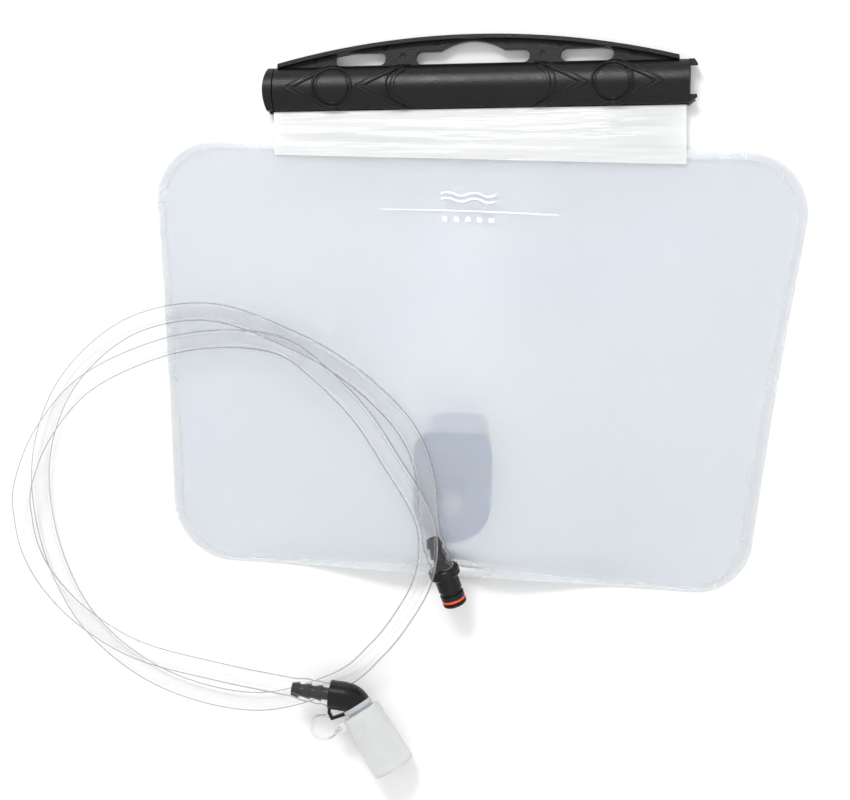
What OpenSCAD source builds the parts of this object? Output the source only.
// Hydration bladder with a sliding closure bar, a quick-connect port and a loose drinking hose.
// Millimetres. The bladder lies face up on its port and its closure, +Y towards the closure,
// +Z up. The origin is on the table below the middle of the bladder.

/* [Bag] */
// Width of the bag along its top edge, if its corners were sharp
bag_top_w = 321; // [300:1:330]
// Width of the bag along its bottom edge
bag_bottom_w = 273; // [250:1:290]
// Height of the bag from bottom edge to top edge
bag_h = 204; // [190:1:210]
// Radius of the bag's corners
corner_r = 28; // [20:1:35]
// Angle by which the bag hangs askew from its closure, in degrees
bag_lean = 2; // [0:0.5:3]
// Thickness of the film
film_t = 0.4; // [0.3:0.05:0.5]
// Width of the welded rim
seam_w = 5; // [4:0.5:7]
// Space left between the two panels of the empty bag
bag_gap = 1.6; // [1:0.1:3]

/* [Closure] */
// Length of the slider's channel
bar_l = 199; // [190:1:205]
// Height of the bar, seen from the front
bar_h = 20.5; // [20:0.5:21]
// Thickness of the bar
bar_t = 12; // [12:0.5:13]
// Wall of the channel
wall = 2; // [1.8:0.1:2.2]
// Width of the slit that the film comes out of
slit_w = 2; // [1.8:0.1:2.4]
// Height of the raised marks on the bar
mark_h = 0.5; // [0.3:0.1:0.8]

/* [Handle] */
// Height of the arched handle above the bar's middle
arch_top = 24.2; // [24:0.1:26]
// Thickness of the handle's web
web_t = 3; // [2:0.5:4]
// Width of the middle grip hole
grip_w = 55; // [50:1:58]
// Length of each side slot
slot_l = 25; // [20:1:28]

/* [Port] */
// Distance from the middle of the socket down to the table
socket_z = 7.3; // [7.3:0.1:7.5]
// Radius of the socket's bore
socket_r = 5.68; // [5.66:0.01:5.7]
// Travel of the release button
button_travel = 1.2; // [1:0.1:1.3]

/* [Hose] */
// Outer diameter of the hose
hose_d = 9; // [8:0.5:9]
// Radius of the plug's nose
plug_r = 5.6; // [5.55:0.01:5.62]

/* [Mouthpiece] */
// Outer radius of the elbow
elbow_r = 6.9; // [6:0.1:7]
// Angle of the elbow, in degrees
elbow_bend = 51; // [45:1:60]
// Length of the dust cover
cover_l = 31; // [28:1:34]

/* [Hidden] */
$fn = 48;

// Where things are
bar_y = 104.3;              // middle of the closure bar
bar_x0 = -96.5;             // the slider's left end, against the end stop
bar_x1 = bar_x0 + bar_l;
film_x0 = -97;              // the collar film, from end to end of the mouth
film_x1 = 101;
film_z = 5.2;               // height at which the film runs through the slit
pivot = [0, 62];            // the bag leans about this point
port_x = -4;
port_y = -86;
flange_z = 14.6;            // underside of the flange
flange_t = 1.6;
inlet_y = -8;               // water inlet, from the port's middle
plug_pos = [-7, -123, 20.3];
plug_turn = [0, 20, -73];
mouth_pos = [-61.2, -184.8, 14.8];
mouth_turn = [0, 7, 0];
mouth_heading = -6.4;

// The hose's route, from the plug to the elbow: two loose loops, the second one over the first
HOSE_ROUTE = [
    [-7, -123, 20.5], [-11, -110, 25.5], [-13, -97, 26.5], [-15, -81, 26], [-21, -65, 24.5],
    [-33, -50, 22], [-55, -33, 14], [-83, -18, 8], [-125, -4, 8], [-165, -10, 7],
    [-195, -32, 5], [-210, -60, 5], [-213, -92, 5], [-203, -129, 5], [-182, -160, 5],
    [-146, -183, 5], [-100, -191.5, 5], [-60, -180, 5.5], [-39, -163, 12], [-24, -145, 22.5],
    [-14, -128, 31.5], [-11, -111, 36.5], [-15, -96, 36], [-30, -75, 29], [-46, -54, 23],
    [-65, -36, 19], [-87, -21, 17], [-118, -17, 10.5], [-152, -22, 8], [-188, -39, 10],
    [-208, -64, 15], [-219, -90, 13], [-220, -107, 9], [-215, -123, 9.5], [-203, -138, 13.5],
    [-184, -154, 15], [-157, -169, 11], [-116, -178, 8.5], [-79, -182, 16.5], [-61, -185, 15]
];
// The tether's route, from the dust cover's lug round to the elbow's eyelet
TETHER_ROUTE = [
    [-55.4, -200.4, 15.8], [-57.6, -202.6, 12.6], [-61, -206, 7], [-65, -208, 2.5],
    [-69, -208.5, 1], [-72.5, -206, 1], [-73, -202, 1], [-71, -198, 3], [-67, -196, 8],
    [-63, -195.2, 13], [-61, -195, 14.7]
];

// ---------- curves and sheets ----------
function smooth01(t) = let (c = min(1, max(0, t))) c * c * (3 - 2 * c);
function fall(t) = 1 - smooth01(t);
function unit(v) = v / norm(v);
function mix(a, b, t) = a + (b - a) * t;
function turn2(p, a) = [p[0] * cos(a) - p[1] * sin(a), p[0] * sin(a) + p[1] * cos(a)];

// Points of a round corner at p between neighbours a and b
function corner(a, p, b, r, n) =
    let (u = unit(a - p), v = unit(b - p), half = acos(u * v) / 2,
         c = p + unit(u + v) * r / sin(half), s = p + u * r / tan(half) - c,
         sweep = 180 - 2 * half)
    [for (k = [0 : n]) c + turn2(s, sweep * k / n)];

// Points between a and b, both left out
function between(a, b, n) = [for (k = [1 : n]) mix(a, b, k / (n + 1))];

// Catmull-Rom curve through the points of a route, steps samples to a stretch
function spline_at(a, b, c, d, t) =
    0.5 * (2 * b + (c - a) * t + (2 * a - 5 * b + 4 * c - d) * t * t
        + (3 * b - a - 3 * c + d) * t * t * t);
function smooth_route(P, steps) =
    let (n = len(P) - 1)
    concat([for (k = [0 : n - 1], s = [0 : steps - 1])
        spline_at(P[max(0, k - 1)], P[k], P[k + 1], P[min(n, k + 2)], s / steps)], [P[n]]);

// Tube swept along a path that is never upright
module tube(path, r, sides) {
    n = len(path);
    points = [for (k = [0 : n - 1])
        let (t = unit(path[min(n - 1, k + 1)] - path[max(0, k - 1)]),
             side = unit(cross([0, 0, 1], t)), up = cross(t, side))
        for (j = [0 : sides - 1])
            path[k] + r * (cos(360 * j / sides) * side + sin(360 * j / sides) * up)];
    walls = [for (k = [0 : n - 2], j = [0 : sides - 1])
        let (a = k * sides + j, b = k * sides + (j + 1) % sides)
        each [[a, a + sides, b + sides], [a, b + sides, b]]];
    first = [for (j = [0 : sides - 1]) j];
    last = [for (j = [0 : sides - 1]) n * sides - 1 - j];
    polyhedron(points = points, faces = concat(walls, [first, last]));
}

// Round wire wound into a spring that stands on z = 0
module coil(radius, wire_r, turns, length, sides = 6, steps = 12) {
    n = turns * steps;
    points = [for (k = [0 : n])
        let (a = 360 * k / steps, z = wire_r + (length - 2 * wire_r) * k / n)
        for (j = [0 : sides - 1])
            let (d = radius + wire_r * cos(360 * j / sides))
            [d * cos(a), d * sin(a), z + wire_r * sin(360 * j / sides)]];
    walls = [for (k = [0 : n - 1], j = [0 : sides - 1])
        let (a = k * sides + j, b = k * sides + (j + 1) % sides)
        each [[a, a + sides, b + sides], [a, b + sides, b]]];
    first = [for (j = [0 : sides - 1]) j];
    last = [for (j = [0 : sides - 1]) (n + 1) * sides - 1 - j];
    polyhedron(points = points, faces = concat(walls, [first, last]));
}

// ---------- the bag's film ----------
// Half sizes of the flat patch over the port, and its outline's radius in direction a
patch_x = 21;
patch_y = 27.5;
function patch_r(a) = pow(pow(abs(cos(a)) / patch_x, 3.5) + pow(abs(sin(a)) / patch_y, 3.5), -1 / 3.5);

// Height of the back panel's underside: it tents over the port and the plug's way in, and rises to the closure
function film_low(p) =
    let (d = p - [port_x, port_y], a = atan2(d[1], d[0]), away = max(0, norm(d) - patch_r(a)),
         reach = 75 - 55 * pow(max(0, -sin(a)), 3) + 70 * pow(max(0, sin(a)), 12))
    0.05 + (flange_z + flange_t - 0.05) * fall(away / reach) + (film_z - 0.45) * closure_pull(p);
function closure_pull(p) = fall((94 - p[1]) / 60) * fall((abs(p[0] - 2) - 85) / 65);

// Share of the mouth at a point near the top edge: 1 inside the neck, 0 outside it
function neck(p) = fall((abs(p[0] - 2) - 88) / 8) * smooth01((p[1] - 40) / 20);

function bag_point(x, y) = pivot + turn2([x, y], -bag_lean);
bag_top = 14.5;
bag_bottom = bag_top - bag_h;
bag_corners = [bag_point(bag_top_w / 2, bag_top), bag_point(-bag_top_w / 2, bag_top),
    bag_point(-bag_bottom_w / 2, bag_bottom), bag_point(bag_bottom_w / 2, bag_bottom)];
arcs = [for (k = [0 : 3])
    corner(bag_corners[(k + 3) % 4], bag_corners[k], bag_corners[(k + 1) % 4], corner_r, 6)];
edge_steps = [12, 6, 11, 6];
outline = [for (k = [0 : 3]) each concat(arcs[k],
    between(arcs[k][6], arcs[(k + 1) % 4][0], edge_steps[k]))];
angles = [for (p = outline) atan2(p[1] - port_y, p[0] - port_x)];
steps_out = [0, 0.12, 0.26, 0.42, 0.58, 0.74, 0.88, 1];

// One ring of the panels: [x, y, gap between the panels]
function ring_points(s, rim) =
    [for (k = [0 : len(outline) - 1])
        let (a = angles[k], inner = [port_x, port_y] + patch_r(a) * [cos(a), sin(a)],
             seam = 1 - seam_w / norm(outline[k] - inner),
             p = mix(inner, outline[k], rim ? 1 : s * seam),
             g = bag_gap * fall((s - 0.55) / 0.45))
        [p[0], p[1], max(g, 0.8 * neck(p))]];
hole_ring = [for (a = angles) [port_x + 6 * cos(a), port_y + inlet_y + 6 * sin(a), bag_gap]];
panel_rings = concat([hole_ring], [for (s = steps_out) ring_points(s, false)], [ring_points(1, true)]);

module panel(front) {
    n = len(outline);
    m = len(panel_rings);
    heights = [for (ring = panel_rings) [for (q = ring)
        film_low([q[0], q[1]]) + (front ? film_t + q[2] : 0)]];
    points = [for (lift = [0, film_t], k = [0 : m - 1], i = [0 : n - 1])
        [panel_rings[k][i][0], panel_rings[k][i][1], heights[k][i] + lift]];
    top = m * n;
    skin = [for (k = [0 : m - 2], i = [0 : n - 1])
        let (a = k * n + i, b = k * n + (i + 1) % n)
        each [[a, a + n, b + n], [a, b + n, b],
            [top + a, top + b + n, top + a + n], [top + a, top + b, top + b + n]]];
    rim = [for (i = [0 : n - 1])
        let (a = (m - 1) * n + i, b = (m - 1) * n + (i + 1) % n)
        each [[a, top + a, top + b], [a, top + b, b]]];
    hole = [for (i = [0 : n - 1])
        let (a = i, b = (i + 1) % n)
        each [[a, b, top + b], [a, top + b, top + a]]];
    caps = [[for (i = [0 : n - 1]) i], [for (i = [0 : n - 1]) top + n - 1 - i]];
    polyhedron(points = points, faces = concat(skin, rim, front ? caps : hole));
}

module bag_front_panel() {
    color([0.88, 0.9, 0.94, 0.7]) panel(true);
}

module bag_back_panel() {
    color([0.85, 0.88, 0.93, 0.7]) panel(false);
}

// ---------- the mouth collar ----------
// Each half runs from a weld on its panel up through the slit to the rail
collar_rows = [-7, -1, 5, 11];
function collar_point(x, k) =
    let (edge = bag_point(x, bag_top), y = k < 4 ? edge[1] + collar_rows[k] : k == 4 ? 93.5 : 99.3)
    [k < 4 ? mix(edge[0], x, k / 4) : x, min(y, k < 4 ? 92 : 99.3)];

module collar(front) {
    n = 12;
    m = 6;
    side = front ? 1 : -1;
    spots = [for (k = [0 : m - 1], i = [0 : n]) collar_point(mix(film_x0, film_x1, i / n), k)];
    lows = [for (k = [0 : m - 1], i = [0 : n])
        let (p = spots[k * (n + 1) + i], on_film = film_low(p) + (front ? 2 * film_t + 0.8 : -film_t),
             at_slit = film_z + (front ? 0 : -film_t))
        max(0.05, mix(on_film, at_slit, smooth01((p[1] - 76) / 17)))];
    points = [for (lift = [0, film_t], q = [0 : len(spots) - 1])
        [spots[q][0], spots[q][1], lows[q] + lift]];
    w = n + 1;
    top = m * w;
    skin = [for (k = [0 : m - 2], i = [0 : n - 1])
        let (a = k * w + i, b = a + 1, c = a + w, d = c + 1)
        each [[a, b, d], [a, d, c], [top + a, top + d, top + b], [top + a, top + c, top + d]]];
    loop = concat([for (i = [0 : n - 1]) i], [for (k = [0 : m - 2]) k * w + n],
        [for (i = [n : -1 : 1]) (m - 1) * w + i], [for (k = [m - 1 : -1 : 1]) k * w]);
    rim = [for (i = [0 : len(loop) - 1])
        let (a = loop[i], b = loop[(i + 1) % len(loop)])
        each [[a, top + a, top + b], [a, top + b, b]]];
    polyhedron(points = points, faces = concat(skin, rim));
}

module collar_front() {
    color([0.93, 0.95, 0.93, 0.5]) collar(true);
}

module collar_back() {
    color([0.93, 0.95, 0.93, 0.5]) collar(false);
}

// ---------- the closure ----------
// Flat shapes drawn in the Y-Z plane and pulled along X from a to b
module along_x(a, b) {
    translate([a, 0, 0]) rotate([90, 0, 90]) linear_extrude(b - a) children();
}

// A rounded rectangle about the origin
module round_rect(w, h, r) {
    square([w - 2 * r, h], center = true);
    square([w, h - 2 * r], center = true);
    for (x = [-1, 1], y = [-1, 1]) translate([x * (w / 2 - r), y * (h / 2 - r)]) circle(r);
}

rail_y = 104;
module mouth_rail() {
    color([0.85, 0.87, 0.87, 0.8])
        along_x(film_x0, film_x1) translate([rail_y, film_z]) round_rect(7, 2.4, 1);
}

module mouth_fold() {
    color([0.93, 0.95, 0.93, 0.5])
        along_x(film_x0, film_x1) translate([rail_y, film_z]) difference() {
            round_rect(9.4, 4.4, 1.2);
            round_rect(7, 2.4, 1);
        }
}

// The bar's outer shape, moved out by grow: a flat back and a crowned front
crown = 13;
module bar_profile(grow) {
    intersection() {
        translate([bar_y - bar_h / 2 - grow, 0]) square([bar_h + 2 * grow, bar_t + 1 + grow]);
        translate([bar_y, bar_t - crown]) circle(crown + grow, $fn = 96);
    }
}

module bar_cavity() {
    translate([bar_y - bar_h / 2 + wall, wall]) intersection() {
        square([bar_h - 2 * wall, bar_t]);
        translate([bar_h / 2 - wall, bar_t - crown - wall]) circle(crown - wall, $fn = 96);
    }
}

module rail_end_stop() {
    color([0.12, 0.12, 0.13]) {
        intersection() {
            along_x(-101.5, -97) bar_profile(0);
            translate([-61.5, bar_y - 0.5, -1]) cylinder(r = 40, h = 20, $fn = 128);
        }
        translate([-99.6, bar_y - bar_h / 2 - 0.9, 1.5]) cube([2.6, 2, 2.5]);
    }
}

// Marks on the bar, in plan: arrows that point along the bar, and round pads
module arrow_mark(tip) {
    polygon([[tip, 0], [tip + 23.6, 12], [tip + 29, 12], [tip + 3.6, 0], [tip + 29, -12], [tip + 23.6, -12]]);
}

module pad_ring(outer, inner) {
    difference() {
        circle(outer);
        circle(inner);
    }
}

module marks() {
    for (side = [0, 1]) mirror([side, 0]) {
        arrow_mark(-90.8);
        arrow_mark(-56);
        translate([-67, 0]) pad_ring(10, 8.9);
        translate([-67, 0]) circle(7.8);
        intersection() {
            translate([-28.4, 0]) pad_ring(9.6, 8.2);
            translate([-42, -12]) square([10.5, 24]);
        }
    }
}

arch_r = 390;
slot_y = 14;                // middle of the side slots above the bar's middle
slot_r = 3.1;
module slot_shape(l) {
    square([l - 2 * slot_r, 2 * slot_r], center = true);
    for (x = [-1, 1]) translate([x * (l / 2 - slot_r), 0]) circle(slot_r);
}

module arch_outline(inset) {
    intersection() {
        translate([1.3, arch_top - arch_r]) circle(arch_r - inset, $fn = 360);
        translate([-95, 8]) square([192.5, 20]);
    }
}

module handle_holes() {
    for (x = [-54.5, 54.5]) translate([x, slot_y]) slot_shape(slot_l);
    translate([0, slot_y]) slot_shape(grip_w);
    intersection() {
        translate([0, slot_y - 21]) circle(28.6, $fn = 96);
        translate([-15.5, slot_y]) square([31, 10]);
    }
}

dimples = [[-76.7, 14.2], [-42.1, 19.2], [-33.7, 14.7], [-17, 20.4]];
module slider() {
    color([0.1, 0.1, 0.11]) difference() {
        union() {
            along_x(bar_x0, bar_x1) bar_profile(0);
            translate([0, bar_y, 0]) {
                translate([0, 0, 2.5]) linear_extrude(web_t) difference() {
                    arch_outline(1);
                    handle_holes();
                }
                translate([0, 0, 0.6]) linear_extrude(7.8) difference() {
                    arch_outline(0);
                    arch_outline(2);
                    translate([-90, 7]) square([182, 3.5]);
                }
                // guide fingers past the open end
                translate([0, 0, wall]) linear_extrude(6) {
                    polygon([[102, 6.9], [106, 6.9], [106, 8], [104.5, 10.2], [102, 10.2]]);
                    polygon([[102, -6], [105.6, -6], [106, -7.6], [102.5, -10.2], [102, -10.2]]);
                }
            }
            intersection() {
                translate([0, bar_y, bar_t - 6]) linear_extrude(8) marks();
                along_x(bar_x0 + 1, bar_x1 - 1) bar_profile(mark_h);
            }
        }
        along_x(bar_x0 - 1, bar_x1 + 5) bar_cavity();
        along_x(bar_x0 - 1, bar_x1 + 5)
            translate([bar_y - bar_h / 2 - 1, film_z - slit_w / 2]) square([wall + 2, slit_w]);
        for (d = dimples, side = [-1, 1]) translate([side * d[0], bar_y + d[1], 2.5 + web_t - 0.5])
            cylinder(r = 1.4, h = 2);
    }
}

// ---------- the drinking port, on the far side of the bag ----------
module at_port() {
    translate([port_x, port_y, 0]) children();
}

// Turned parts of the valve lie along Y at the socket's height, their own axis running up +Z
module along_socket(y) {
    translate([0, y, socket_z]) rotate([-90, 0, 0]) children();
}

flange_w = 37;
module port_flange() {
    color([0.33, 0.45, 0.56]) at_port() translate([0, 0, flange_z]) linear_extrude(flange_t)
        difference() {
            union() {
                translate([0, -7]) circle(flange_w / 2, $fn = 96);
                translate([-flange_w / 2, -7]) square([flange_w, 24]);
                translate([-flange_w / 2 + 9, 10]) square([flange_w - 18, 16]);
                for (x = [-1, 1]) translate([x * (flange_w / 2 - 9), 17]) circle(9);
            }
            translate([0, inlet_y]) circle(5);
        }
}

block_w = 22;
block_y0 = -20;
mouth_y = 35;               // the socket's mouth, from the port's middle
bore_depth = 15;
slot_y0 = mouth_y - 8.8;    // the latch plate's slot
slot_t = 2.4;
chamber_r = 4.6;
seat_y = mouth_y - bore_depth - 3;
module port_body() {
    color([0.28, 0.38, 0.48]) at_port() difference() {
        union() {
            translate([0, mouth_y, flange_z / 2]) rotate([90, 0, 0])
                linear_extrude(mouth_y - block_y0) round_rect(block_w, flange_z, 4);
            translate([0, inlet_y, 1]) cylinder(r = 12, h = flange_z - 1);
        }
        along_socket(mouth_y - bore_depth) cylinder(r = socket_r, h = bore_depth + 1);
        along_socket(seat_y - 1) cylinder(r = 3, h = 5);
        along_socket(block_y0 - 3) cylinder(r = chamber_r, h = seat_y - block_y0 + 3);
        translate([0, inlet_y, socket_z]) cylinder(r = 4, h = 20);
        translate([-10.4, slot_y0, 0.5]) cube([block_w, slot_t, flange_z - 1]);
    }
}

module port_end_cap() {
    color([0.25, 0.34, 0.43]) at_port() {
        along_socket(block_y0) cylinder(r = chamber_r, h = 6);
        along_socket(block_y0 - 2) cylinder(r = 6.2, h = 2);
    }
}

plate_y = slot_y0 + 0.3;
plate_t = 1.8;
module latch_plate() {
    color([0.75, 0.76, 0.78]) at_port() difference() {
        translate([-7.6, plate_y, 0.8]) cube([18.2, plate_t, flange_z - 1.6]);
        translate([button_travel, plate_y - 1, socket_z]) rotate([-90, 0, 0])
            cylinder(r = socket_r + 0.17, h = plate_t + 2);
    }
}

module release_button() {
    color([0.2, 0.24, 0.28]) at_port() {
        translate([10.6, plate_y, socket_z - 3]) cube([2, plate_t, 6]);
        translate([12.5, plate_y + plate_t / 2, socket_z]) rotate([0, 90, 0]) cylinder(r = 5, h = 2);
    }
}

module latch_spring() {
    color([0.7, 0.71, 0.74]) at_port() translate([-10.2, plate_y + 0.1, socket_z])
        rotate([-90, 0, 0]) linear_extrude(plate_t - 0.2) intersection() {
            translate([-3.3, 0]) pad_ring(5.7, 5.35);
            translate([0, -4.6]) square([4, 9.2]);
        }
}

head_y = seat_y - 3.8;
module poppet() {
    color([0.86, 0.87, 0.88]) at_port() {
        along_socket(-6) cylinder(r = 1.3, h = head_y + 6);
        along_socket(head_y) cylinder(r = 4.2, h = 2.2);
        along_socket(head_y + 2.2) cylinder(r = 2.2, h = 6.8);
    }
}

module poppet_seal() {
    color([0.1, 0.1, 0.1]) at_port() along_socket(head_y + 3)
        rotate_extrude() translate([3.1, 0]) circle(0.79, $fn = 24);
}

seat_disc_y = -3.5;
module spring_seat() {
    color([0.86, 0.87, 0.88]) at_port() along_socket(seat_disc_y) difference() {
        cylinder(r = chamber_r, h = 1.5);
        translate([0, 0, -1]) cylinder(r = 1.5, h = 4);
        for (a = [45 : 90 : 315]) rotate(a) translate([2.9, 0, -1]) cylinder(r = 0.9, h = 4, $fn = 24);
    }
}

module poppet_spring() {
    color([0.7, 0.71, 0.74]) at_port() along_socket(seat_disc_y + 1.52)
        coil(3.1, 0.35, 6, head_y - seat_disc_y - 1.56);
}

// ---------- the hose and its plug ----------
module hose() {
    color([0.93, 0.95, 0.96, 0.4]) tube(smooth_route(HOSE_ROUTE, 2), hose_d / 2, 8);
}

// Local +X runs from the plug's flange towards the tip of its nose
module at_plug() {
    translate(plug_pos) rotate(plug_turn) children();
}

// A solid turned about local X from a profile of [x, radius] points
module turned(profile) {
    rotate([90, 0, 90]) rotate_extrude() polygon([for (p = profile) [p[1], p[0]]]);
}

nose_l = 14.5;
flange_l = 4.5;
module hose_plug() {
    color([0.1, 0.1, 0.11]) at_plug() turned([
        [-15, 2], [-15, 2.9], [-11.5, 3.9], [-11.5, 3], [-9.5, 3], [-6, 3.9], [-6, 3], [-4, 3],
        [-0.5, 3.9], [0, 3.9], [0, 6.7], [0.6, 7.2], [3.9, 7.2], [flange_l, 6.6],
        [flange_l, plug_r], [11, plug_r], [11, 4.7], [13.2, 4.7], [13.2, plug_r],
        [15.2, plug_r], [15.2, 4.05], [17.4, 4.05], [17.4, plug_r], [18.4, plug_r],
        [flange_l + nose_l, 5], [flange_l + nose_l, 2]
    ]);
}

module plug_o_ring() {
    color([0.85, 0.25, 0.12]) at_plug() rotate([90, 0, 90]) rotate_extrude()
        translate([4.83, 16.3]) circle(0.75, $fn = 24);
}

// ---------- the mouthpiece ----------
// Local +X runs along the barb towards the bend, and the elbow lies flat in local X-Y
module at_mouth() {
    translate(mouth_pos) rotate(mouth_turn) rotate([0, 0, mouth_heading]) children();
}

elbow_l = 7.3;
bend_r = 7.8;
// The frame at the elbow's outlet, its +X along the bite valve
module at_valve() {
    at_mouth() translate([elbow_l + bend_r * sin(elbow_bend), -bend_r * (1 - cos(elbow_bend)), 0])
        rotate([0, 0, -elbow_bend]) children();
}

module elbow() {
    color([0.08, 0.08, 0.09]) {
        at_mouth() {
            turned([
                [-18, 0], [-18, 3], [-14.5, 3.9], [-14.5, 3], [-12.5, 3], [-9, 3.9], [-9, 3],
                [-7, 3], [-3.5, 3.9], [-3.5, 3], [0, 3], [0, elbow_r - 0.4], [0.4, elbow_r],
                [elbow_l + 0.3, elbow_r], [elbow_l + 0.3, 0]
            ]);
            translate([elbow_l, -bend_r, 0]) rotate([0, 0, 90 - elbow_bend])
                rotate_extrude(angle = elbow_bend) translate([bend_r, 0]) circle(elbow_r - 0.1);
            // eyelet for the tether
            translate([0, 0, -1.3]) linear_extrude(2.6) polygon([
                [0.3, -5], [0.3, -8.6], [2.6, -11.9], [9.4, -8.6], [8.6, -7.2], [3, -10],
                [1.6, -8.2], [1.6, -5]
            ]);
        }
        at_valve() turned([[-1, 0], [-1, 4.2], [7, 4.2], [8, 3.6], [8, 0]]);
    }
}

module bite_valve() {
    color([0.8, 0.83, 0.85, 0.7]) at_valve() turned([
        [0.05, 4.25], [0.05, 6.9], [0.5, 7.2], [2.1, 7.2], [2.5, 6.9], [2.5, 6.2], [18, 6.2],
        [22, 5.6], [25, 3.6], [26, 0], [24.2, 0], [23, 2.6], [21, 4.1], [18, 4.6], [9, 4.6], [9, 4.25]
    ]);
}

cover_x = 3.6;
module dust_cover() {
    color([0.8, 0.83, 0.83, 0.7]) at_valve() {
        turned([
            [cover_x, 6.6], [cover_x, 9], [cover_x + 0.5, 9.5], [cover_x + cover_l - 0.8, 10.35],
            [cover_x + cover_l, 9.6], [cover_x + cover_l, 0], [cover_x + cover_l - 1.6, 0],
            [cover_x + cover_l - 1.6, 8.9], [cover_x + 2, 8.2], [cover_x + 1.2, 6.6]
        ]);
        difference() {
            union() {
                translate([3.7, -13.6, -0.8]) cube([4.6, 5, 1.6]);
                translate([6, -13.6, -0.8]) cylinder(r = 2.3, h = 1.6);
            }
            translate([6, -13.6, -3]) cylinder(r = 1.6, h = 6, $fn = 24);
        }
    }
}

module cover_tether() {
    color([0.93, 0.95, 0.96, 0.5]) tube(smooth_route(TETHER_ROUTE, 2), 0.5, 8);
}

bag_front_panel();
bag_back_panel();
collar_front();
collar_back();
mouth_rail();
mouth_fold();
rail_end_stop();
slider();
port_flange();
port_body();
port_end_cap();
latch_plate();
release_button();
latch_spring();
poppet();
poppet_seal();
poppet_spring();
spring_seat();
hose();
hose_plug();
plug_o_ring();
elbow();
bite_valve();
dust_cover();
cover_tether();
